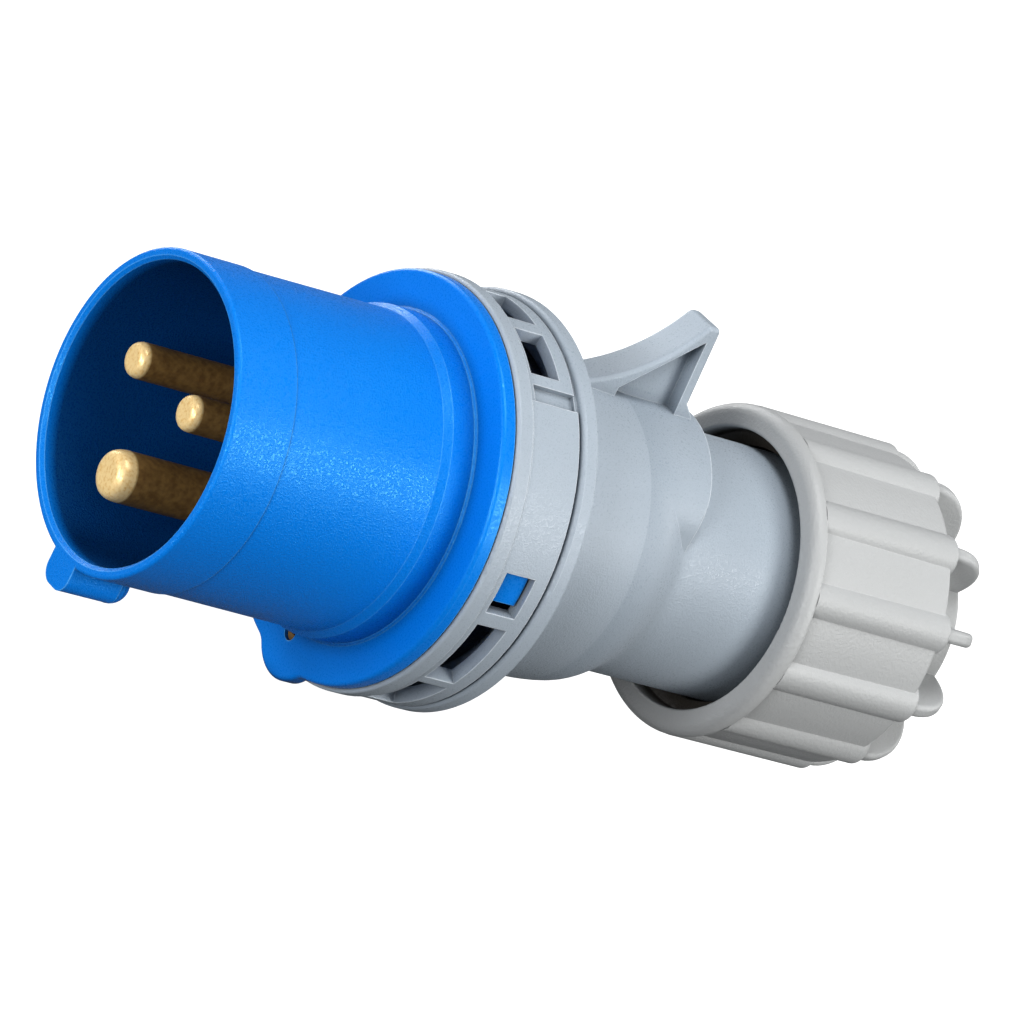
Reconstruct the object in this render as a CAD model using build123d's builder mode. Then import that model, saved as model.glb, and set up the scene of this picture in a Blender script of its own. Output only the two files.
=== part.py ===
from build123d import *
from math import cos, radians, sin
import os

# Industrial pin and sleeve plug, 2 poles and earth, 16 A.
# Millimetres. The plug's axis is X and its mouth is at X = 0, with the cable end at +X.
# Up is +Z, where the lid-catch fin stands. Clock angles start at the top and grow towards -Y.

# Clearances
slack = 0.1          # between fixed pieces that seat on each other
free_gap = 0.3       # between the turning nut and what it turns on
cut_over = 1.0       # how far a cutting shape runs past what it cuts

# Sleeve
mouth_radius = 22.0
mouth_wall = 1.6
mouth_band_length = 9.3
mouth_band_step = 0.25
mouth_round = 0.5
lip_bevel = 0.5
sleeve_length = 38.2
sleeve_draft = 0.15
bore_draft = 0.5
root_length = 4.9
root_slope = 1.1
root_rise = 0.7
cove = 0.3

# Flange, floor behind the pins, and spigot
flange_inset = 0.2
flange_thickness = 2.0
flange_edge = 0.6
floor_setback = 2.7
floor_thickness = 4.9
spigot_wall = 2.1
spigot_length = 5.4

# Key under the mouth and lug under the flange
key_width = 6.0
key_height = 3.9
key_sink = 0.8
key_length = 8.2
key_corner = 2.2
key_bulb_radius = 2.7
key_bulb_drop = 0.3
lug_radius = 6.7
lug_blend = 3.0

# Lock screw
lock_screw_inset = 2.5
lock_screw_radius = 1.15
lock_screw_length = 11.5
lock_screw_recess = 0.5
lock_screw_slot = 0.5
lock_boss_radius = 3.4

# Latch hooks of the front shell
latch_window = (86.4, 98.6)      # clock angles
latch_hook_top_gap = 0.4         # degrees between the hook and its window
latch_hook_low_gap = 2.8
latch_hook_height = 1.4
latch_hook_length = 3.6
latch_back_gap = 0.4

# Contact pins and their terminals
pin_circle = 8.9
line_pin_radius = 2.5
earth_pin_radius = 3.5
line_pin_recess = 1.3
earth_pin_recess = 0.1
pin_nose_radial = 0.48    # share of the pin's radius that its nose rounds off
pin_nose_length = 0.80    # length of the nose as a share of the pin's radius
pin_neck_depth = 0.2
pin_neck_gap = 0.6
pin_collar_height = 1.3
pin_collar_thickness = 1.5
barrel_wall = 1.75
barrel_reach = 9.0
line_wire_bore = 2.1
earth_wire_bore = 2.7
wire_bore_depth = 10.0
terminal_screw_setback = 4.2
terminal_screw_thread = 1.4
terminal_screw_head = 2.4
terminal_screw_head_height = 1.9
screw_slot = 0.7
wire_plate_thickness = 0.5
wire_plate_width = 1.2    # share of the wire bore's radius
wire_plate_rise = 0.4     # share of the wire bore's radius
wire_plate_length = 7.0

# Contact carrier and its screws
carrier_length = 10.4
carrier_rim = 2.2
carrier_web = 1.6
carrier_recess = 3.6
carrier_screw_circle = 17.2
carrier_screw_radius = 1.5
carrier_screw_head = 2.8
carrier_screw_head_height = 2.0
carrier_screw_bite = 3.0

# Collar of the rear body
collar_radius = 28.4
collar_wall = 2.1
collar_length = 10.9
rim_gap = 0.2        # dark joint between flange and rim, closed by the gasket
rim_rise = 0.35
rim_length = 2.3
rim_slope = 0.4
rim_round = 0.5
gasket_recess = 2.1
gasket_wall = 1.2
groove_width = 0.5
groove_depth = 0.6
bead_rise = 0.35
bead_width = 2.7
bead_round = 0.6
window_setback = 3.5
window_length = 4.8
top_recess_depth = 0.35
top_recess_angle = 39.2
pocket_depth = 1.2
pocket_first = 33.7
top_window = 17.6
upper_window = (13.5, 30.1)
lower_window = (102.8, 126.5)
bottom_window = (129.6, 152.0)

# Body, hood and neck
body_radius = 21.8
body_draft = 0.8
body_length = 15.4
body_wall = 2.2
web_thickness = 2.7
taper_length = 11.1
taper_slope = 0.12               # slope at the body's edge
taper_shoulder = (0.28, 0.12)    # shares of the taper's length and of its drop
taper_flank = (0.455, 0.29)
taper_foot = (0.70, 0.735)
hood_inset = 0.1
hood_half_width = 16.4
hood_corner = 8.5
hood_length = 12.4
hood_belly = (10.6, 15.0)        # along the axis from the body's end, and height over the axis
hood_foot = (9.5, 5.0)
neck_radius = 17.6
neck_wall = 3.1
neck_length = 25.6
neck_lip = 0.6

# Lid-catch fin: points are along the axis and up from the rear end of the body's top line
fin_thickness = 6.0
fin_start = (-11.8, 0.0)
fin_belly = (0.2, 5.3)
fin_tip = (7.1, 12.9)
fin_tip_length = 1.9
fin_rear_lean = 0.6
fin_root_round = 1.4
fin_tip_round = 0.8
fin_edge_round = 0.6
fin_web = 1.5
fin_pocket = ((-2.5, 1.2), (7.5, 10.6), (8.1, -1.5), (-2.5, -1.5))

# Cable gland
seal_stop_lip = 5.0
seal_stop_thickness = 1.9
cage_seat_wall = 1.7
cage_seat_depth = 3.6
cage_wall = 3.4
cage_claw_length = 4.5
cage_claw_taper = 2.1
cage_claw_count = 8
cage_slot = 2.0
seal_length = 9.5
seal_wall = 4.0
reducing_ring_wall = 3.1
slip_ring_thickness = 1.0
slip_ring_wall = 3.6

# Gland nut
nut_lap = 9.5
nut_wall = 4.4
nut_draft = 0.15
nut_mouth_gap = 1.8
nut_mouth_depth = 3.0
nut_lead_in = 1.0
nut_rim_rise = 0.95
nut_rim_width = 2.2
nut_rim_nose = 1.6
nut_rim_edge = 0.4
nut_thread_length = 15.5
nut_cone_length = 5.0
nut_pocket_length = 2.4
nut_end_wall = 2.8
nut_outlet_radius = 10.0
nut_tube_wall = 3.5
nut_tube_length = 9.5
rib_count = 12
rib_first = 12.0
rib_width = 4.6
rib_height = 1.0
rib_round = 0.8
end_fin_thickness = 2.0
end_fin_rise = 0.2
end_fin_round = 0.7
end_fin_belly = (7.2, 2.3)       # along the axis from the barrel's end, and in from its radius
end_fin_foot = (0.3, 0.5)        # short of the tube's end, and in from its radius

# Radii that follow from the sizes above
barrel_front_radius = mouth_radius - mouth_band_step
barrel_rear_radius = barrel_front_radius + sleeve_draft
mouth_bore = mouth_radius - mouth_wall
floor_bore = mouth_bore - bore_draft
root_radius = barrel_rear_radius + root_rise
flange_radius = collar_radius - flange_inset
collar_bore = collar_radius - collar_wall
gasket_bore = collar_bore + gasket_wall
rim_radius = collar_radius + rim_rise
bead_radius = collar_radius + bead_rise
spigot_radius = collar_bore - free_gap
spigot_bore = spigot_radius - spigot_wall
carrier_radius = spigot_bore - free_gap
lug_centre = collar_bore - lock_screw_inset
body_rear_radius = body_radius - body_draft
body_bore = body_rear_radius - body_wall
hood_radius = body_rear_radius - hood_inset
neck_bore = neck_radius - neck_wall
seal_stop_radius = neck_bore - seal_stop_lip
cage_seat_radius = neck_radius - cage_seat_wall
cage_bore = cage_seat_radius - cage_wall
seal_radius = cage_bore - free_gap
seal_bore = seal_radius - seal_wall
reducing_ring_radius = seal_bore - slack
slip_ring_radius = nut_outlet_radius + slip_ring_wall
nut_bore = neck_radius + free_gap
nut_mouth_radius = nut_bore + nut_mouth_gap
nut_barrel_radius = nut_bore + nut_wall
nut_barrel_rear_radius = nut_barrel_radius - nut_draft
nut_rim_radius = nut_barrel_radius + nut_rim_rise
nut_tube_radius = nut_outlet_radius + nut_tube_wall

# Stations along the axis that follow from the sizes above
flange_front = sleeve_length
flange_back = flange_front + flange_thickness
root_start = flange_front - root_length
floor_front = flange_front - floor_setback
floor_back = floor_front + floor_thickness
spigot_end = flange_back + spigot_length
rim_front = flange_back + rim_gap
gasket_seat = rim_front + gasket_recess
zone_front = rim_front + rim_length + rim_slope
window_start = rim_front + window_setback
latch_end = window_start + window_length - latch_back_gap
collar_end = rim_front + collar_length
collar_back = collar_end + bead_width
groove_front = collar_end - groove_width
web_front = collar_back - web_thickness
carrier_front = floor_back + slack
carrier_end = carrier_front + carrier_length
barrel_end = carrier_end + barrel_reach
body_end = collar_back + body_length
taper_end = body_end + taper_length
neck_end = taper_end + neck_length
seat_front = neck_end - cage_seat_depth
stop_front = seat_front - seal_stop_thickness
cage_foot = seat_front + slack
nut_front = neck_end - nut_lap
nut_rim_back = nut_front + nut_rim_width
nut_mouth_back = nut_front + nut_mouth_depth
nut_thread_end = nut_front + nut_thread_length
nut_cone_end = nut_thread_end + nut_cone_length
nut_tail = nut_cone_end + nut_pocket_length
nut_barrel_end = nut_tail + nut_end_wall
nut_tube_end = nut_barrel_end + nut_tube_length
slip_ring_front = nut_tail - slack - slip_ring_thickness
lock_screw_front = flange_front + lock_screw_recess
lock_screw_end = lock_screw_front + lock_screw_length
clock_up = 90.0      # a clock angle of 0 is this many degrees from +Y in the YZ plane


def across(x):
    """Plane across the axis at X, with its own x along +Y and its own y along +Z."""
    return Plane.YZ.offset(x)


def on_clock(radius, angle):
    """Point of a plane across the axis, at a clock angle."""
    turn = radians(clock_up + angle)
    return (radius * cos(turn), radius * sin(turn))


def sector(x, inner, outer, first, last):
    """Face across the axis between two radii and two clock angles."""
    with BuildSketch(across(x)) as face:
        with BuildLine():
            outside = CenterArc((0, 0), outer, clock_up + first, last - first)
            inside = CenterArc((0, 0), inner, clock_up + first, last - first)
            Line(outside @ 0, inside @ 0)
            Line(outside @ 1, inside @ 1)
        make_face()
    return face.sketch


def write(part, name):
    """Label a finished piece and write it as the STEP file of that name."""
    part.label = name
    export_step(part, "parts/" + name + ".step")


os.makedirs("parts", exist_ok=True)


# Front shell: sleeve, mouth key, flange with its lug, contact floor, spigot and latch hooks
contacts = {
    "line": {"clock": -60, "radius": line_pin_radius, "recess": line_pin_recess,
             "bore": line_wire_bore},
    "neutral": {"clock": 60, "radius": line_pin_radius, "recess": line_pin_recess,
                "bore": line_wire_bore},
    "earth": {"clock": 180, "radius": earth_pin_radius, "recess": earth_pin_recess,
              "bore": earth_wire_bore},
}
latch_first, latch_last = latch_window
hook_first = latch_first + latch_hook_top_gap
hook_last = latch_last - latch_hook_low_gap
carrier_screw_spots = [on_clock(carrier_screw_circle, side) for side in (-90, 90)]
lock_spot = (0, -lug_centre)

with BuildPart() as front_shell:
    with BuildSketch(Plane.XZ) as sleeve_profile:
        with BuildLine():
            sleeve_side = Polyline(
                (0, mouth_bore + lip_bevel),
                (0, mouth_radius),
                (mouth_band_length, mouth_radius),
                (mouth_band_length, barrel_front_radius),
                (root_start, barrel_rear_radius),
                (root_start + root_slope, root_radius),
                (flange_front - cove, root_radius),
            )
            cove_arc = RadiusArc(sleeve_side @ 1, (flange_front, root_radius + cove), cove)
            Polyline(
                cove_arc @ 1,
                (flange_front, spigot_radius),
                (spigot_end, spigot_radius),
                (spigot_end, spigot_bore),
                (floor_back, spigot_bore),
                (floor_back, 0),
                (floor_front, 0),
                (floor_front, floor_bore),
                (lip_bevel, mouth_bore),
                (0, mouth_bore + lip_bevel),
            )
        make_face()
        mouth_corner = sleeve_profile.vertices().sort_by_distance((0, mouth_radius))[0]
        fillet(mouth_corner, mouth_round)
    revolve(axis=Axis.X)

    with BuildSketch(across(flange_front)):
        Circle(flange_radius)
        Circle(spigot_bore, mode=Mode.SUBTRACT)
    extrude(amount=flange_thickness)
    with BuildSketch(across(flange_front)):
        with Locations(lock_spot):
            Circle(lug_radius)
        Circle(spigot_bore, mode=Mode.SUBTRACT)
    extrude(amount=rim_front - slack - flange_front)
    lug_edges = front_shell.edges().filter_by(Axis.X)
    lug_edges = lug_edges.filter_by_position(Axis.Z, -flange_radius, -lug_centre)
    fillet(lug_edges, lug_blend)
    front_edges = front_shell.edges().filter_by_position(Axis.X, flange_front, flange_front)
    axis_point = Vertex(flange_front, 0, 0)
    fillet([edge for edge in front_edges if edge.distance_to(axis_point) > spigot_radius], flange_edge)

    with BuildSketch(across(0)) as key_section:
        key_root = mouth_radius - key_sink
        key_foot = mouth_radius + key_height
        with Locations((0, -(key_root + key_foot) / 2)):
            Rectangle(key_width, key_foot - key_root)
        fillet(key_section.vertices().group_by(Axis.Y)[0], key_corner)
    extrude(amount=key_length)
    with Locations((key_length, 0, key_bulb_radius - key_foot - key_bulb_drop)):
        Sphere(key_bulb_radius)
    with BuildSketch(Plane.XZ):
        with BuildLine():
            Polyline(
                (lip_bevel, 0),
                (lip_bevel, mouth_bore),
                (floor_front, floor_bore),
                (floor_front, 0),
                close=True,
            )
        make_face()
    revolve(axis=Axis.X, mode=Mode.SUBTRACT)

    for first, last in ((hook_first, hook_last), (-hook_last, -hook_first)):
        arm = sector(flange_back, spigot_bore, spigot_radius, first, last)
        extrude(arm, amount=latch_end - flange_back)
        hook = sector(latch_end, spigot_bore, spigot_radius + latch_hook_height, first, last)
        extrude(hook, amount=-latch_hook_length)

    for contact in contacts.values():
        with BuildSketch(across(floor_front)):
            with Locations(on_clock(pin_circle, contact["clock"])):
                Circle(contact["radius"] - pin_neck_depth + slack)
        extrude(amount=floor_thickness, mode=Mode.SUBTRACT)
    with BuildSketch(across(floor_back)):
        with Locations(carrier_screw_spots):
            Circle(carrier_screw_radius + slack)
    extrude(amount=-(carrier_screw_bite + slack), mode=Mode.SUBTRACT)
    with BuildSketch(across(flange_front)):
        with Locations(lock_spot):
            Circle(lock_screw_radius + slack)
    extrude(amount=spigot_end - flange_front, mode=Mode.SUBTRACT)
write(front_shell.part, "front_shell")


# Contact pins, each turned in one piece with its collar and its terminal barrel
def pin_blank(contact):
    """Outline of one pin in the plane through its own axis: nose, shank, neck, collar and barrel."""
    tip = contact["recess"]
    radius = contact["radius"]
    neck = radius - pin_neck_depth
    neck_start = floor_front - pin_neck_gap
    collar = radius + pin_collar_height
    collar_end = carrier_front + pin_collar_thickness
    barrel = contact["bore"] + barrel_wall
    nose_start = (tip, radius * (1 - pin_nose_radial))
    nose_end = (tip + radius * pin_nose_length, radius)
    with BuildSketch(Plane.XZ) as outline:
        with BuildLine():
            Spline(nose_start, nose_end, tangents=((0, 1), (1, 0)))
            Polyline(
                nose_end,
                (neck_start, radius),
                (neck_start, neck),
                (carrier_front, neck),
                (carrier_front, collar),
                (collar_end, collar),
                (collar_end, barrel),
                (barrel_end, barrel),
                (barrel_end, 0),
                (tip, 0),
                nose_start,
            )
        make_face()
    return outline.sketch


for name, contact in contacts.items():
    offset_y, offset_z = on_clock(pin_circle, contact["clock"])
    screw_x = barrel_end - terminal_screw_setback
    barrel = contact["bore"] + barrel_wall
    outward = on_clock(1, contact["clock"])
    screw_axis = Plane(origin=(screw_x, offset_y, offset_z), x_dir=(1, 0, 0), z_dir=(0, *outward))
    with BuildPart() as pin:
        revolve(pin_blank(contact), axis=Axis.X)
        with BuildSketch(across(barrel_end)):
            Circle(contact["bore"])
        extrude(amount=-wire_bore_depth, mode=Mode.SUBTRACT)
    placed_pin = Pos(0, offset_y, offset_z) * pin.part
    with BuildPart() as drilled_pin:
        add(placed_pin)
        with BuildSketch(screw_axis):
            Circle(terminal_screw_thread + slack / 2)
        extrude(amount=barrel + cut_over, mode=Mode.SUBTRACT)
    write(drilled_pin.part, name + "_pin")

    plate_low = contact["bore"] * wire_plate_rise
    with BuildPart() as wire_plate:
        with BuildSketch(screw_axis.offset(plate_low)):
            Rectangle(wire_plate_length, contact["bore"] * wire_plate_width)
        extrude(amount=wire_plate_thickness)
    write(wire_plate.part, name + "_wire_plate")

    screw_low = plate_low + wire_plate_thickness + slack / 2
    with BuildPart() as terminal_screw:
        with BuildSketch(screw_axis.offset(screw_low)):
            Circle(terminal_screw_thread)
        extrude(amount=barrel + slack - screw_low)
        with BuildSketch(screw_axis.offset(barrel + slack)):
            Circle(terminal_screw_head)
        extrude(amount=terminal_screw_head_height)
        with BuildSketch(screw_axis.offset(barrel + slack + terminal_screw_head_height)):
            Rectangle(2 * (terminal_screw_head + slack), screw_slot)
        extrude(amount=-terminal_screw_head_height / 2, mode=Mode.SUBTRACT)
    write(terminal_screw.part, name + "_terminal_screw")


# Contact carrier: holds the pins against the floor of the front shell
with BuildPart() as contact_carrier:
    with BuildSketch(across(carrier_front)):
        Circle(carrier_radius)
        with Locations(lock_spot):
            Circle(lock_boss_radius + free_gap, mode=Mode.SUBTRACT)
    extrude(amount=carrier_length)
    with BuildSketch(across(carrier_end)):
        Circle(carrier_radius - carrier_rim)
        for contact in contacts.values():
            with Locations(on_clock(pin_circle, contact["clock"])):
                Circle(contact["bore"] + barrel_wall + slack + carrier_web, mode=Mode.SUBTRACT)
        with Locations(carrier_screw_spots):
            Circle(carrier_screw_head + slack + carrier_web, mode=Mode.SUBTRACT)
        with Locations(lock_spot):
            Circle(lock_boss_radius + free_gap + carrier_rim, mode=Mode.SUBTRACT)
    extrude(amount=-carrier_recess, mode=Mode.SUBTRACT)
    for contact in contacts.values():
        with BuildSketch(across(carrier_front)):
            with Locations(on_clock(pin_circle, contact["clock"])):
                Circle(contact["bore"] + barrel_wall + slack)
        extrude(amount=carrier_length, mode=Mode.SUBTRACT)
        with BuildSketch(across(carrier_front)):
            with Locations(on_clock(pin_circle, contact["clock"])):
                Circle(contact["radius"] + pin_collar_height + slack)
        extrude(amount=pin_collar_thickness + slack, mode=Mode.SUBTRACT)
    with BuildSketch(across(carrier_front)):
        with Locations(carrier_screw_spots):
            Circle(carrier_screw_radius + slack)
    extrude(amount=carrier_length, mode=Mode.SUBTRACT)
    with BuildSketch(across(carrier_end)):
        with Locations(carrier_screw_spots):
            Circle(carrier_screw_head + slack)
    extrude(amount=-carrier_screw_head_height, mode=Mode.SUBTRACT)
write(contact_carrier.part, "contact_carrier")

with BuildPart() as carrier_screws:
    head_front = carrier_end - carrier_screw_head_height + slack
    with BuildSketch(across(head_front)):
        with Locations(carrier_screw_spots):
            Circle(carrier_screw_head)
    extrude(amount=carrier_screw_head_height - slack)
    with BuildSketch(across(head_front)):
        with Locations(carrier_screw_spots):
            Circle(carrier_screw_radius)
    extrude(amount=floor_back - carrier_screw_bite - head_front)
    with BuildSketch(across(carrier_end)):
        with Locations(carrier_screw_spots):
            Rectangle(2 * (carrier_screw_head + slack), screw_slot)
    extrude(amount=-carrier_screw_head_height / 2, mode=Mode.SUBTRACT)
write(carrier_screws.part, "carrier_screws")


# Gasket between the flange and the collar
with BuildPart() as flange_gasket:
    with BuildSketch(Plane.XZ):
        with BuildLine():
            Polyline(
                (flange_back + slack, spigot_radius + slack),
                (flange_back + slack, gasket_bore - slack),
                (gasket_seat - slack, gasket_bore - slack),
                (gasket_seat - slack, spigot_radius + slack),
                close=True,
            )
        make_face()
    revolve(axis=Axis.X)
write(flange_gasket.part, "flange_gasket")


# Hood: carries the body's round top on over the taper, with straight sides that run out to a point
with BuildPart() as hood:
    with BuildSketch(across(body_end - rim_slope)) as hood_section:
        Circle(hood_radius)
        Rectangle(2 * hood_half_width, 2 * hood_radius, mode=Mode.INTERSECT)
        fillet(hood_section.vertices().group_by(Axis.Y)[-1], hood_corner)
    extrude(amount=rim_slope + hood_length)
    with BuildSketch(Plane.XZ):
        with BuildLine():
            hood_end = (body_end + hood_length, hood_radius)
            belly = (body_end + hood_belly[0], hood_belly[1])
            foot = (body_end + hood_foot[0], hood_foot[1])
            ThreePointArc(hood_end, belly, foot)
            Polyline(
                foot,
                (body_end - rim_slope, hood_foot[1]),
                (body_end - rim_slope, hood_radius),
                hood_end,
            )
        make_face()
    extrude(amount=hood_radius, both=True, mode=Mode.INTERSECT)


# Lid-catch fin, with a three-sided pocket in each face
def fin_point(spot):
    """Point of the side view from its place along and above the end of the body's top line."""
    return (body_end + spot[0], body_rear_radius + spot[1])


fin_foot = body_bore + body_wall / 2
fin_tip_x, fin_tip_z = fin_point(fin_tip)
fin_back_x = fin_tip_x + fin_tip_length + fin_rear_lean
fin_back_z = hood_radius + fin_root_round
with BuildPart() as fin:
    with BuildSketch(Plane.XZ) as fin_side:
        with BuildLine():
            ramp = ThreePointArc(fin_point(fin_start), fin_point(fin_belly), (fin_tip_x, fin_tip_z))
            Polyline(
                ramp @ 1,
                (fin_tip_x + fin_tip_length, fin_tip_z),
                (fin_back_x, fin_back_z),
                (fin_back_x + fin_root_round, hood_radius),
                (fin_back_x + fin_root_round, fin_foot),
                (body_end + fin_start[0], fin_foot),
                ramp @ 0,
            )
        make_face()
        fillet(fin_side.vertices().group_by(Axis.Y)[-1], fin_tip_round)
    extrude(amount=fin_thickness / 2, both=True)
    side_edges = fin.edges().filter_by(
        lambda edge: edge.center().Z > fin_back_z and abs(edge.center().Y) > fin_thickness / 2 - slack
    )
    fillet(side_edges, fin_edge_round)
    for side in (-1, 1):
        with BuildSketch(Plane.XZ.offset(side * fin_thickness / 2)):
            with BuildLine():
                Polyline(*[fin_point(corner) for corner in fin_pocket], close=True)
            make_face()
        extrude(amount=-side * (fin_thickness - fin_web) / 2, mode=Mode.SUBTRACT)


# Rear body: windowed collar, bead, tapered body with its hood and fin, and neck
windows = [(-top_window / 2, top_window / 2)]
for first, last in (upper_window, latch_window, lower_window, bottom_window):
    windows.append((first, last))
    windows.append((-last, -first))


def taper_point(shares):
    """Point between the body and the neck, from its shares of the taper's length and drop."""
    along, down = shares
    return (body_end + taper_length * along, body_rear_radius + (neck_radius - body_rear_radius) * down)


with BuildPart() as rear_body:
    with BuildSketch(Plane.XZ) as body_profile:
        with BuildLine():
            taper = Spline(
                (body_end, body_rear_radius),
                taper_point(taper_shoulder),
                taper_point(taper_flank),
                taper_point(taper_foot),
                (taper_end, neck_radius),
                tangents=((1, -taper_slope), (1, 0)),
            )
            Polyline(
                taper @ 1,
                (neck_end - neck_lip, neck_radius),
                (neck_end, neck_radius - neck_lip),
                (neck_end, 0),
                (gasket_seat, 0),
                (gasket_seat, gasket_bore),
                (rim_front, gasket_bore),
                (rim_front, rim_radius),
                (rim_front + rim_length, rim_radius),
                (zone_front, collar_radius),
                (groove_front, collar_radius),
                (groove_front, collar_radius - groove_depth),
                (collar_end, collar_radius - groove_depth),
                (collar_end, bead_radius),
                (collar_back, bead_radius),
                (collar_back, body_radius),
                taper @ 0,
            )
        make_face()
        fillet(body_profile.vertices().sort_by_distance((rim_front, rim_radius))[0], rim_round)
        for bead_edge in (collar_end, collar_back):
            fillet(body_profile.vertices().sort_by_distance((bead_edge, bead_radius))[0], bead_round)
    revolve(axis=Axis.X)
    add(hood.part)
    add(fin.part)
    with BuildSketch(Plane.XZ):
        with BuildLine():
            Polyline(
                (rim_front, 0),
                (rim_front, collar_bore),
                (web_front, collar_bore),
                (web_front, body_bore),
                (body_end, body_bore),
                (taper_end, neck_bore),
                (stop_front, neck_bore),
                (stop_front, seal_stop_radius),
                (seat_front, seal_stop_radius),
                (seat_front, cage_seat_radius),
                (neck_end + cut_over, cage_seat_radius),
                (neck_end + cut_over, 0),
                close=True,
            )
        make_face()
    revolve(axis=Axis.X, mode=Mode.SUBTRACT)
    cut_radius = rim_radius + cut_over
    recess_floor = collar_radius - top_recess_depth
    recess = sector(zone_front, recess_floor, cut_radius, -top_recess_angle, top_recess_angle)
    extrude(recess, amount=groove_front - zone_front, mode=Mode.SUBTRACT)
    for first, last in windows:
        window = sector(window_start, collar_bore - cut_over, cut_radius, first, last)
        extrude(window, amount=window_length, mode=Mode.SUBTRACT)
    for side in (-1, 1):
        pocket_ends = sorted((side * pocket_first, side * top_recess_angle))
        pocket = sector(window_start, collar_radius - pocket_depth, cut_radius, *pocket_ends)
        extrude(pocket, amount=groove_front - window_start, mode=Mode.SUBTRACT)
    with BuildSketch(across(spigot_end + free_gap)):
        with Locations(lock_spot):
            Circle(lock_boss_radius)
    extrude(amount=web_front - spigot_end)
    with BuildSketch(across(spigot_end)):
        with Locations(lock_spot):
            Circle(lock_screw_radius + slack / 2)
    extrude(amount=lock_screw_end + slack - spigot_end, mode=Mode.SUBTRACT)
write(rear_body.part, "rear_body")

with BuildPart() as lock_screw:
    with BuildSketch(across(lock_screw_front)):
        with Locations(lock_spot):
            Circle(lock_screw_radius)
    extrude(amount=lock_screw_length)
    with BuildSketch(across(lock_screw_front)):
        with Locations(lock_spot):
            Rectangle(2 * (lock_screw_radius + slack), lock_screw_slot)
    extrude(amount=lock_screw_radius, mode=Mode.SUBTRACT)
write(lock_screw.part, "lock_screw")


# Cable gland inside the neck: clamping cage, seal, reducing ring and slip ring
with BuildPart() as clamp_cage:
    with BuildSketch(Plane.XZ):
        with BuildLine():
            Polyline(
                (cage_foot, cage_bore),
                (cage_foot, cage_seat_radius - slack),
                (neck_end, cage_seat_radius - slack),
                (neck_end + cage_claw_length, cage_seat_radius - cage_claw_taper),
                (neck_end + cage_claw_length, cage_bore),
                close=True,
            )
        make_face()
    revolve(axis=Axis.X)
    with BuildSketch(across(neck_end)):
        with PolarLocations(cage_seat_radius - cage_wall / 2, cage_claw_count):
            Rectangle(cage_wall * 2, cage_slot)
    extrude(amount=cage_claw_length, mode=Mode.SUBTRACT)
write(clamp_cage.part, "clamp_cage")


def ring(front, length, outer, inner):
    """Plain ring on the axis."""
    with BuildPart() as body:
        with BuildSketch(across(front)):
            Circle(outer)
            Circle(inner, mode=Mode.SUBTRACT)
        extrude(amount=length)
    return body.part


write(ring(cage_foot, seal_length, seal_radius, seal_bore), "gland_seal")
reducing_bore = reducing_ring_radius - reducing_ring_wall
write(ring(cage_foot, seal_length - free_gap, reducing_ring_radius, reducing_bore), "seal_reducing_ring")
write(ring(slip_ring_front, slip_ring_thickness, slip_ring_radius, nut_outlet_radius), "slip_ring")


# Gland nut: rounded mouth, ribbed barrel, cone, outlet tube and end fins
rib_arc = (rib_width ** 2 / 4 + rib_height ** 2) / (2 * rib_height)
with BuildPart() as nut_rib:
    with BuildSketch(across(nut_rim_back - slack)):
        with Locations((0, nut_barrel_radius + rib_height - rib_arc)):
            Circle(rib_arc)
    extrude(amount=nut_barrel_end + rib_round - nut_rim_back)
    fillet(nut_rib.edges().group_by(Axis.X)[-1], rib_round)

with BuildPart() as end_fin:
    with BuildSketch(Plane.XZ):
        with BuildLine():
            fin_arc = ThreePointArc(
                (nut_barrel_end - rib_round, nut_barrel_rear_radius + end_fin_rise),
                (nut_barrel_end + end_fin_belly[0], nut_barrel_rear_radius - end_fin_belly[1]),
                (nut_tube_end - end_fin_foot[0], nut_tube_radius - end_fin_foot[1]),
            )
            Polyline(
                fin_arc @ 1,
                (nut_barrel_end - rib_round, nut_tube_radius - end_fin_foot[1]),
                fin_arc @ 0,
            )
        make_face()
    extrude(amount=end_fin_thickness / 2, both=True)
    fin_edges = end_fin.edges().filter_by(
        lambda edge: edge.geom_type == GeomType.CIRCLE and edge.center().X > nut_barrel_end
    )
    fillet(fin_edges, end_fin_round)

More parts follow.
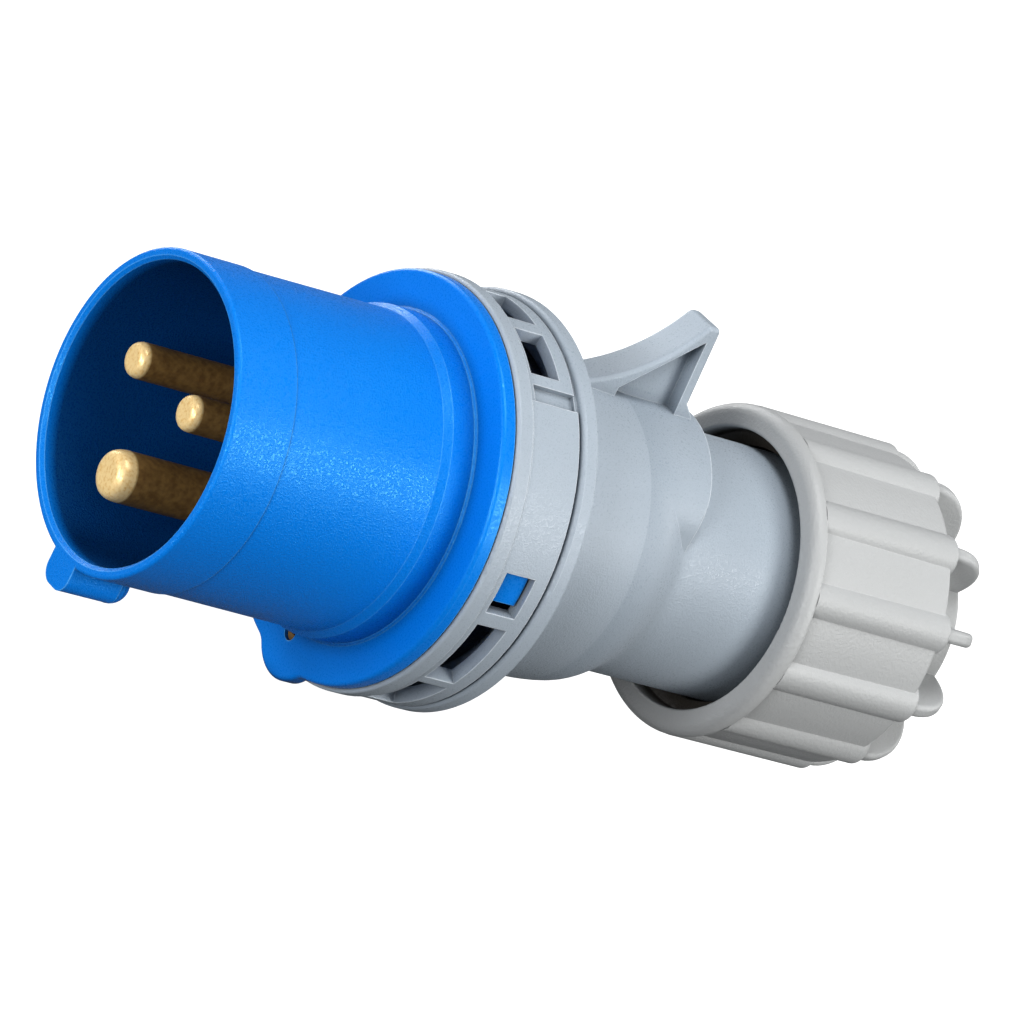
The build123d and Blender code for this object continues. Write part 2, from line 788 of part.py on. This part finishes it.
with BuildPart() as gland_nut:
    with BuildSketch(Plane.XZ) as nut_profile:
        with BuildLine():
            Polyline(
                (nut_front, nut_mouth_radius),
                (nut_front, nut_rim_radius),
                (nut_rim_back, nut_rim_radius),
                (nut_rim_back, nut_barrel_radius),
                (nut_barrel_end, nut_barrel_rear_radius),
                (nut_barrel_end, nut_tube_radius),
                (nut_tube_end, nut_tube_radius),
                (nut_tube_end, 0),
                (nut_mouth_back, 0),
                (nut_mouth_back, nut_mouth_radius),
                close=True,
            )
        make_face()
        rounds = (
            ((nut_front, nut_rim_radius), nut_rim_nose),
            ((nut_rim_back, nut_rim_radius), nut_rim_edge),
            ((nut_front, nut_mouth_radius), nut_rim_edge),
            ((nut_barrel_end, nut_barrel_rear_radius), rib_round),
            ((nut_tube_end, nut_tube_radius), rib_round),
        )
        for corner, size in rounds:
            fillet(nut_profile.vertices().sort_by_distance(corner)[0], size)
    revolve(axis=Axis.X)
    for number in range(rib_count):
        turn = rib_first + number * 360 / rib_count
        add(nut_rib.part.rotate(Axis.X, turn))
        add(end_fin.part.rotate(Axis.X, turn))
    with BuildSketch(Plane.XZ):
        with BuildLine():
            Polyline(
                (nut_rim_back - slack, 0),
                (nut_rim_back - slack, nut_mouth_radius),
                (nut_mouth_back, nut_mouth_radius),
                (nut_mouth_back + nut_lead_in, nut_bore),
                (nut_thread_end, nut_bore),
                (nut_cone_end, slip_ring_radius + free_gap),
                (nut_tail, slip_ring_radius + free_gap),
                (nut_tail, nut_outlet_radius),
                (nut_tube_end + slack, nut_outlet_radius),
                (nut_tube_end + slack, 0),
                close=True,
            )
        make_face()
    revolve(axis=Axis.X, mode=Mode.SUBTRACT)
write(gland_nut.part, "gland_nut")
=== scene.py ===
from math import radians

import bpy
from mathutils import Matrix, Vector


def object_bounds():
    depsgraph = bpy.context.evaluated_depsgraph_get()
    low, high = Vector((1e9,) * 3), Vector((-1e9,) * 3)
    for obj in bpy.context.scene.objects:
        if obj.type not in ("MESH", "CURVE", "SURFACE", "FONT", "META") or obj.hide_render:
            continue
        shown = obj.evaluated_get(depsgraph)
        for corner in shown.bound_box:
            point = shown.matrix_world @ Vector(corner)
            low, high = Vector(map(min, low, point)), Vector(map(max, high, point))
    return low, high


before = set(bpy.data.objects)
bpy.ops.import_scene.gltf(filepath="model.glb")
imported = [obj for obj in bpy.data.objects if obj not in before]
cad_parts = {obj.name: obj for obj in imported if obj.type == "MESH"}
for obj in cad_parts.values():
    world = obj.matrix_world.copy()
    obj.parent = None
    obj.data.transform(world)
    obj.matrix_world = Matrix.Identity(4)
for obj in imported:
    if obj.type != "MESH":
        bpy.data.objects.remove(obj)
cadBox = [list(corner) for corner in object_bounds()]
print("frame loaded,", len(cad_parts), "nodes")


# Camera first: place and aim in metres, roll in degrees, lens and sensor in mm, clip in metres
photoCamera = {"place": (-0.5605, -0.7860, 0.2656), "aim": (0.0401, -0.0284, 0.0100),
               "roll": 26.7, "lens": 273.1, "sensor": 36, "clip": 20}


def addCamera(shot):
    bpy.ops.object.camera_add(location=shot["place"])
    camera = bpy.context.object
    camera.name = "photoCamera"
    aim = Vector(shot["aim"]) - Vector(shot["place"])
    turn = aim.to_track_quat("-Z", "Y").to_matrix() @ Matrix.Rotation(radians(shot["roll"]), 3, "Z")
    camera.rotation_euler = turn.to_euler()
    camera.data.lens = shot["lens"]
    camera.data.sensor_width = shot["sensor"]
    camera.data.clip_end = shot["clip"]
    bpy.context.scene.camera = camera


addCamera(photoCamera)
print("camera placed")


def linear(hexColour):
    # one sRGB hex colour as the linear numbers that the shaders take
    channels = [int(hexColour[i:i + 2], 16) / 255 for i in (0, 2, 4)]
    return tuple(c / 12.92 if c <= 0.04045 else ((c + 0.055) / 1.055) ** 2.4 for c in channels) + (1.0,)


def addNode(tree, kind, settings=None, links=None):
    node = tree.nodes.new(kind)
    for name, value in (settings or {}).items():
        if isinstance(name, str) and hasattr(node, name):
            setattr(node, name, value)
        else:
            node.inputs[name].default_value = value
    for name, source in (links or {}).items():
        tree.links.new(source, node.inputs[name])
    return node


def ramp(tree, value, start, end, low=0.0, high=1.0):
    limits = {"From Min": start, "From Max": end, "To Min": low, "To Max": high}
    return addNode(tree, "ShaderNodeMapRange", limits, {"Value": value}).outputs["Result"]


def rises(tree, value, start, width):
    # 0 up to start and 1 from start + width on, both in mm
    return ramp(tree, value, start / 1000, (start + width) / 1000)


def falls(tree, value, start, width):
    return ramp(tree, value, start / 1000, (start + width) / 1000, 1, 0)


def both(tree, one, other):
    return addNode(tree, "ShaderNodeMath", {"operation": "MULTIPLY"}, {0: one, 1: other}).outputs["Value"]


def noise(tree, place, scale, detail, distortion=0.0):
    settings = {"Scale": scale, "Detail": detail, "Distortion": distortion}
    return addNode(tree, "ShaderNodeTexNoise", settings, {"Vector": place}).outputs["Fac"]


def blendTones(tree, tones, factor):
    blend = addNode(tree, "ShaderNodeMix", {"data_type": "RGBA"}, {"Factor": factor})
    for side, tone in zip(("A", "B"), tones):
        blend.inputs[side].default_value = linear(tone)
    return blend.outputs["Result"]


def overlay(tree, under, tone, factor):
    mix = addNode(tree, "ShaderNodeMix", {"data_type": "RGBA"}, {"Factor": factor, "A": under})
    mix.inputs["B"].default_value = linear(tone)
    return mix.outputs["Result"]


def alongPlug(tree, place):
    return addNode(tree, "ShaderNodeSeparateXYZ", links={"Vector": place}).outputs["X"]


def outFromAxis(tree, place):
    across = addNode(tree, "ShaderNodeVectorMath", {"operation": "MULTIPLY", 1: (0, 1, 1)}, {0: place})
    length = addNode(tree, "ShaderNodeVectorMath", {"operation": "LENGTH"}, {0: across.outputs["Vector"]})
    return length.outputs["Value"]


def newMaterial(name):
    material = bpy.data.materials.new(name)
    material.use_nodes = True
    tree = material.node_tree
    place = addNode(tree, "ShaderNodeTexCoord").outputs["Object"]
    return material, tree, tree.nodes["Principled BSDF"], place


def setShader(tree, shader, uniforms, links):
    for socket, value in uniforms.items():
        shader.inputs[socket].default_value = value
    for socket, source in links.items():
        tree.links.new(source, shader.inputs[socket])


# Soft studio light: place in metres, size in metres, power in watts, colour in hex
studioLights = {
    "sideSoftbox": {"place": (0.46, -0.76, 0.24), "size": 0.46, "power": 5.6, "colour": "FFFEFB"},
    "cameraSoftbox": {"place": (-0.78, -0.46, 0.12), "size": 0.45, "power": 6.0, "colour": "FFFFFF"},
    "frontSoftbox": {"place": (-0.90, 0.12, 0.02), "size": 0.30, "power": 5.2, "colour": "FFFFFF"},
    "topSoftbox": {"place": (-0.05, -0.24, 0.85), "size": 0.50, "power": 5.2, "colour": "FFFFFF"},
    "farSoftbox": {"place": (0.05, 0.85, 0.30), "size": 0.55, "power": 4.0, "colour": "FFFFFF"},
    "cableEndSoftbox": {"place": (0.98, -0.10, 0.28), "size": 0.45, "power": 2.2, "colour": "FFFFFF"},
}
plugMiddle = (0.06, 0, 0)

# White room: it throws a weak light on the plug and is itself seen white behind it
studioRoom = {"colour": "F8FBFF", "lightStrength": 0.10, "seenStrength": 1.0}


def addLights(lights):
    for name, lamp in lights.items():
        bpy.ops.object.light_add(type="AREA", location=lamp["place"])
        light = bpy.context.object
        light.name = name
        light.data.shape = "DISK"
        light.data.size = lamp["size"]
        light.data.energy = lamp["power"]
        light.data.color = linear(lamp["colour"])[:3]
        aim = Vector(plugMiddle) - light.location
        light.rotation_euler = aim.to_track_quat("-Z", "Y").to_euler()


def addRoom(room):
    world = bpy.data.worlds.new("studioRoom")
    world.use_nodes = True
    tree = world.node_tree
    background = tree.nodes["Background"]
    background.inputs["Color"].default_value = linear(room["colour"])
    seen = addNode(tree, "ShaderNodeLightPath").outputs["Is Camera Ray"]
    strength = ramp(tree, seen, 0, 1, room["lightStrength"], room["seenStrength"])
    tree.links.new(strength, background.inputs["Strength"])
    bpy.context.scene.world = world


addLights(studioLights)
addRoom(studioRoom)
bpy.context.scene.view_settings.view_transform = "Standard"
print("lights placed")


# Floor: matt white paper lit to a clean white, which throws no light back at the plug.
# Size and gap under the plug in metres, fibre in mm
floorSheet = {"size": 6.0, "gap": 0.0002, "tones": ("9A9A98", "A0A0A0"), "glowTone": "FFFFFF", "glow": 1.0,
              "fibre": 1.2, "roughness": 0.9, "reflection": 0.1}


def mattWhitePaper(look):
    material, tree, shader, place = newMaterial("mattWhitePaper")
    fibre = noise(tree, place, 1000 / look["fibre"], 3.0)
    setShader(tree, shader, {
        "Roughness": look["roughness"],
        "Specular IOR Level": look["reflection"],
        "Emission Color": linear(look["glowTone"]),
        "Emission Strength": look["glow"],
    }, {"Base Color": blendTones(tree, look["tones"], fibre)})
    return material


def addFloor(sheet):
    under = (plugMiddle[0], plugMiddle[1], cadBox[0][2] - sheet["gap"])
    bpy.ops.mesh.primitive_plane_add(size=sheet["size"], location=under)
    floor = bpy.context.object
    floor.name = "floor"
    bpy.ops.object.transform_apply(location=True)
    floor.visible_diffuse = False
    floor.visible_glossy = False
    floor.data.materials.append(mattWhitePaper(sheet))


addFloor(floorSheet)
print("floor laid")


# What all mouldings share: drift of tone per metre, the grain's detail and twist and the span of it that
# shows, the roundness of an edge, which also bounds its painted highlight, and the reach of a corner's painted
# shade in mm, and the spans of their masks
moulding = {"drift": 70.0, "driftDetail": 2.0, "grainDetail": 1.5, "grainTwist": 0.6, "grainSpan": (0.38, 0.62),
            "edgeRadius": 0.26, "edgeSamples": 6, "edgeSpan": (0.88, 0.992),
            "cornerReach": 3.0, "cornerSamples": 10, "cornerSpan": (0.30, 0.90), "ior": 1.5}

# How softly the zones of tone begin and end, in mm
softness = {"flange": 0.2, "mouth": 1.6, "insideEnd": 0.4, "insideWall": 0.2, "shoulderStart": 0.2,
            "shoulderInner": 0.6, "shoulderOuter": 0.3, "stepWall": 0.1}

# Moulded plastics: the two tones between which the moulding drifts, then grain size and height in mm,
# and the share by which the grain roughens or polishes the gloss. The zones are given by stations along
# the plug and radii from its axis, in mm
# Each moulding also has a tone and share of painted highlight for its rounded edges and of painted shade for
# its corners; the inside, step and shoulder zones are painted shade.
mouldedPlastics = {
    # glass-filled polyamide from a spark-eroded mould: a fine worm grain that sparkles in the highlight,
    # a flange face that is nearly smooth, a deep blue painted shade inside and a painted shadow line in the
    # step behind the mouth
    "bluePolyamide": {"tones": ("0072D8", "0078E0"), "grain": 0.26, "height": 0.026, "roughness": 0.38,
                      "sparkle": 0.19, "reflection": 0.60, "sheenTint": "78E6FF",
                      "edgeHighlightTone": "66BCFF", "edgeHighlightShare": 1.0, "cornerShadeTone": "002A5C", "cornerShadeShare": 0.75,
                      "smoothFlange": {"from": 38.0, "radius": 23.3, "share": 0.12},
                      "inside": {"tone": "023A78", "radius": 20.6, "stretch": (1.6, 60)},
                      "stepShadowLine": {"at": 9.3, "width": 0.20, "tone": "004A96", "radius": 21.0}},
    # the same moulding in cool grey: silky, with a painted highlight on its rounded edges and a painted soft
    # shade where the body's shoulder falls to the neck
    "greyPolyamide": {"tones": ("9AA5B0", "A1ACB7"), "grain": 0.26, "height": 0.020, "roughness": 0.42,
                      "sparkle": 0.15, "reflection": 0.50, "sheenTint": "F2F7FF",
                      "edgeHighlightTone": "E2EAF2", "edgeHighlightShare": 1.0, "cornerShadeTone": "2C3742", "cornerShadeShare": 0.52,
                      "shoulderShade": {"from": 69.3, "to": 75.5, "radii": (17.9, 22.0), "tone": "7F8C99",
                                   "share": 0.40}},
    # warm light grey moulded in a smoother tool: satin, almost no grain, with a dark painted shade inside
    "lightGreyPolyamide": {"tones": ("ABADAE", "B0B2B3"), "grain": 0.50, "height": 0.020, "roughness": 0.46,
                           "sparkle": 0.06, "reflection": 0.45, "sheenTint": "FFFFFF",
                           "edgeHighlightTone": "D6D7D8", "edgeHighlightShare": 0.70,
                           "cornerShadeTone": "4A4B4C", "cornerShadeShare": 0.40,
                           "inside": {"tone": "38342F", "radius": 20.0, "stretch": (98.0, 111)}},
    # dark insulating insert, seen only through the windows
    "darkPolyamide": {"tones": ("101A2C", "141F33"), "grain": 0.40, "height": 0.030, "roughness": 0.55,
                      "sparkle": 0.08, "reflection": 0.40, "sheenTint": "FFFFFF",
                      "edgeHighlightTone": "263452", "edgeHighlightShare": 0.40, "cornerShadeTone": "05080F", "cornerShadeShare": 0.60},
    # natural acetal of the clamping cage and slip ring: waxy off-white, almost without grain
    "naturalAcetal": {"tones": ("D8D8D2", "E0E0DA"), "grain": 0.50, "height": 0.010, "roughness": 0.35,
                      "sparkle": 0.04, "reflection": 0.50, "sheenTint": "FFFFFF",
                      "edgeHighlightTone": "F0F0EC", "edgeHighlightShare": 0.40, "cornerShadeTone": "8C8A82", "cornerShadeShare": 0.50},
}


def toneZones(tree, tone, look, along, out):
    # painted shade: the inside of the sleeve and of the nut's mouth darkened to a deep tone
    if "inside" in look:
        inner = look["inside"]
        start, end = inner["stretch"]
        lengthwise = both(tree, rises(tree, along, start - softness["mouth"] / 2, softness["mouth"]),
                          falls(tree, along, end, softness["insideEnd"]))
        insideShadeMask = both(tree, lengthwise, falls(tree, out, inner["radius"], softness["insideWall"]))
        tone = overlay(tree, tone, inner["tone"], insideShadeMask)
    # painted shade on the body's shoulder, strongest at its edge and fading toward the neck
    if "shoulderShade" in look:
        slope = look["shoulderShade"]
        inner, outer = slope["radii"]
        fade = ramp(tree, along, slope["from"] / 1000, slope["to"] / 1000, slope["share"], 0)
        behind = both(tree, rises(tree, along, slope["from"], softness["shoulderStart"]), fade)
        onBody = both(tree, rises(tree, out, inner, softness["shoulderInner"]),
                      falls(tree, out, outer, softness["shoulderOuter"]))
        tone = overlay(tree, tone, slope["tone"], both(tree, behind, onBody))
    # painted shadow line in the step behind the mouth
    if "stepShadowLine" in look:
        line = look["stepShadowLine"]
        half = line["width"] / 2
        lengthwise = both(tree, rises(tree, along, line["at"] - half, half),
                          falls(tree, along, line["at"] + half, half))
        stepShadowMask = both(tree, lengthwise, rises(tree, out, line["radius"], softness["stepWall"]))
        tone = overlay(tree, tone, line["tone"], stepShadowMask)
    return tone


def mouldedPlastic(name, look):
    material, tree, shader, place = newMaterial(name)
    along = alongPlug(tree, place)
    out = outFromAxis(tree, place)

    drift = noise(tree, place, moulding["drift"], moulding["driftDetail"])
    grain = noise(tree, place, 1000 / look["grain"], moulding["grainDetail"], moulding["grainTwist"])
    grain = ramp(tree, grain, *moulding["grainSpan"])
    gloss = ramp(tree, grain, 0, 1, look["roughness"] + look["sparkle"], look["roughness"] - look["sparkle"])

    edge = addNode(tree, "ShaderNodeBevel", {
        "samples": moulding["edgeSamples"], "Radius": moulding["edgeRadius"] / 1000}).outputs["Normal"]
    bump = addNode(tree, "ShaderNodeBump", {"Distance": look["height"] / 1000, "Strength": 1.0},
                   {"Height": grain, "Normal": edge})
    if "smoothFlange" in look:
        flat, soft = look["smoothFlange"], softness["flange"]
        inFlange = both(tree, rises(tree, along, flat["from"] - soft, soft),
                        rises(tree, out, flat["radius"] - soft, soft))
        tree.links.new(ramp(tree, inFlange, 0, 1, 1.0, flat["share"]), bump.inputs["Strength"])

    # painted highlight on edges, where the rounded normal leaves the flat one, and painted shade in corners,
    # where little sky is seen
    corners = addNode(tree, "ShaderNodeAmbientOcclusion", {
        "samples": moulding["cornerSamples"], "Distance": moulding["cornerReach"] / 1000}).outputs["AO"]
    shaded = ramp(tree, corners, *moulding["cornerSpan"], 1, 0)
    flatNormal = addNode(tree, "ShaderNodeNewGeometry").outputs["Normal"]
    facing = addNode(tree, "ShaderNodeVectorMath", {"operation": "DOT_PRODUCT"}, {0: edge, 1: flatNormal})
    edgeHighlightMask = ramp(tree, facing.outputs["Value"], *moulding["edgeSpan"], look["edgeHighlightShare"], 0)
    tone = blendTones(tree, look["tones"], drift)
    # painted highlight on the edges, kept out of the corners, then painted shade in the corners
    tone = overlay(tree, tone, look["edgeHighlightTone"], both(tree, edgeHighlightMask, ramp(tree, shaded, 0, 1, 1, 0)))
    tone = overlay(tree, tone, look["cornerShadeTone"], ramp(tree, shaded, 0, 1, 0, look["cornerShadeShare"]))

    setShader(tree, shader, {
        "IOR": moulding["ior"],
        "Specular IOR Level": look["reflection"],
        "Specular Tint": linear(look["sheenTint"]),
    }, {
        "Base Color": toneZones(tree, tone, look, along, out),
        "Roughness": gloss,
        "Normal": bump.outputs["Normal"],
    })
    return material


# Turned brass: dull, and browned on the shanks partly by tarnish and partly by painted shade of the shroud's
# depth; pale gold on the noses, partly rubbed by the wear of mating and partly a painted highlight of the front
# lamp.
# Lengths in mm; the pairs of shares are for the nose and the shank
turnedBrass = {"nose": ("FFDFA0", "E6B86C"), "shank": ("96733E", "76562C"), "noseEnd": 2.5, "noseFade": 0.4,
               "dent": 0.45, "dentHeight": 0.07, "dentSpan": (0.45, 0.75), "dentStrength": (0.55, 0.10),
               "stain": 0.8, "stainSpan": (0.35, 0.65), "metallic": (0.25, 0.30), "roughness": (0.36, 0.48)}


def brass(name, look):
    material, tree, shader, place = newMaterial(name)
    dents = noise(tree, place, 1000 / look["dent"], 3.0)
    stains = noise(tree, place, 1000 / look["stain"], 5.0)
    onShank = rises(tree, alongPlug(tree, place), look["noseEnd"] - look["noseFade"] / 2, look["noseFade"])
    # pale gold noses, partly wear and partly painted highlight, and browned shanks, partly tarnish and partly
    # painted shade
    tone = addNode(tree, "ShaderNodeMix", {"data_type": "RGBA"}, {
        "Factor": onShank,
        "A": blendTones(tree, look["nose"], ramp(tree, dents, *look["dentSpan"])),
        "B": blendTones(tree, look["shank"], ramp(tree, stains, *look["stainSpan"])),
    })
    bump = addNode(tree, "ShaderNodeBump", {"Distance": look["dentHeight"] / 1000}, {
        "Height": dents, "Strength": ramp(tree, onShank, 0, 1, *look["dentStrength"])})
    setShader(tree, shader, {}, {
        "Base Color": tone.outputs["Result"],
        "Normal": bump.outputs["Normal"],
        "Metallic": ramp(tree, onShank, 0, 1, *look["metallic"]),
        "Roughness": ramp(tree, onShank, 0, 1, *look["roughness"]),
    })
    return material


# Zinc-plated steel of the small screws and plates: pale, slightly mottled by the plating bath, in mm
platedSteel = {"tones": ("B4B6B8", "C6C8CA"), "mottle": 0.8, "roughness": (0.26, 0.42)}


def zincSteel(name, look):
    material, tree, shader, place = newMaterial(name)
    mottle = noise(tree, place, 1000 / look["mottle"], 3.0)
    setShader(tree, shader, {"Metallic": 1.0}, {
        "Base Color": blendTones(tree, look["tones"], mottle),
        "Roughness": ramp(tree, mottle, 0, 1, *look["roughness"]),
    })
    return material


# Black nitrile rubber: dull, with a trace of bloom in its pores. Pore size and depth in mm
nitrileRubber = {"tones": ("121212", "1C1C1D"), "roughness": 0.75, "pore": 0.4, "poreDepth": 0.05,
                 "poreStrength": 0.3}


def rubber(name, look):
    material, tree, shader, place = newMaterial(name)
    pores = noise(tree, place, 1000 / look["pore"], 4.0)
    bump = addNode(tree, "ShaderNodeBump", {
        "Distance": look["poreDepth"] / 1000, "Strength": look["poreStrength"]}, {"Height": pores})
    setShader(tree, shader, {"Roughness": look["roughness"]}, {
        "Base Color": blendTones(tree, look["tones"], pores),
        "Normal": bump.outputs["Normal"],
    })
    return material


finishes = {name: mouldedPlastic(name, look) for name, look in mouldedPlastics.items()}
finishes["turnedBrass"] = brass("turnedBrass", turnedBrass)
finishes["zincPlatedSteel"] = zincSteel("zincPlatedSteel", platedSteel)
finishes["nitrileRubber"] = rubber("nitrileRubber", nitrileRubber)
print("materials made")

nodeFinishes = {
    "bluePolyamide": ["front_shell"],
    "greyPolyamide": ["rear_body"],
    "lightGreyPolyamide": ["gland_nut"],
    "darkPolyamide": ["contact_carrier"],
    "naturalAcetal": ["clamp_cage", "slip_ring"],
    "turnedBrass": ["earth_pin", "line_pin", "neutral_pin", "lock_screw"],
    "zincPlatedSteel": ["carrier_screws",
                        "earth_terminal_screw", "line_terminal_screw", "neutral_terminal_screw",
                        "earth_wire_plate", "line_wire_plate", "neutral_wire_plate"],
    "nitrileRubber": ["flange_gasket", "gland_seal", "seal_reducing_ring"],
}


def dressNodes(finishOf):
    for finish, nodes in finishOf.items():
        for node in nodes:
            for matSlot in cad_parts[node].material_slots:
                matSlot.material = finishes[finish]


dressNodes(nodeFinishes)
print("nodes dressed")
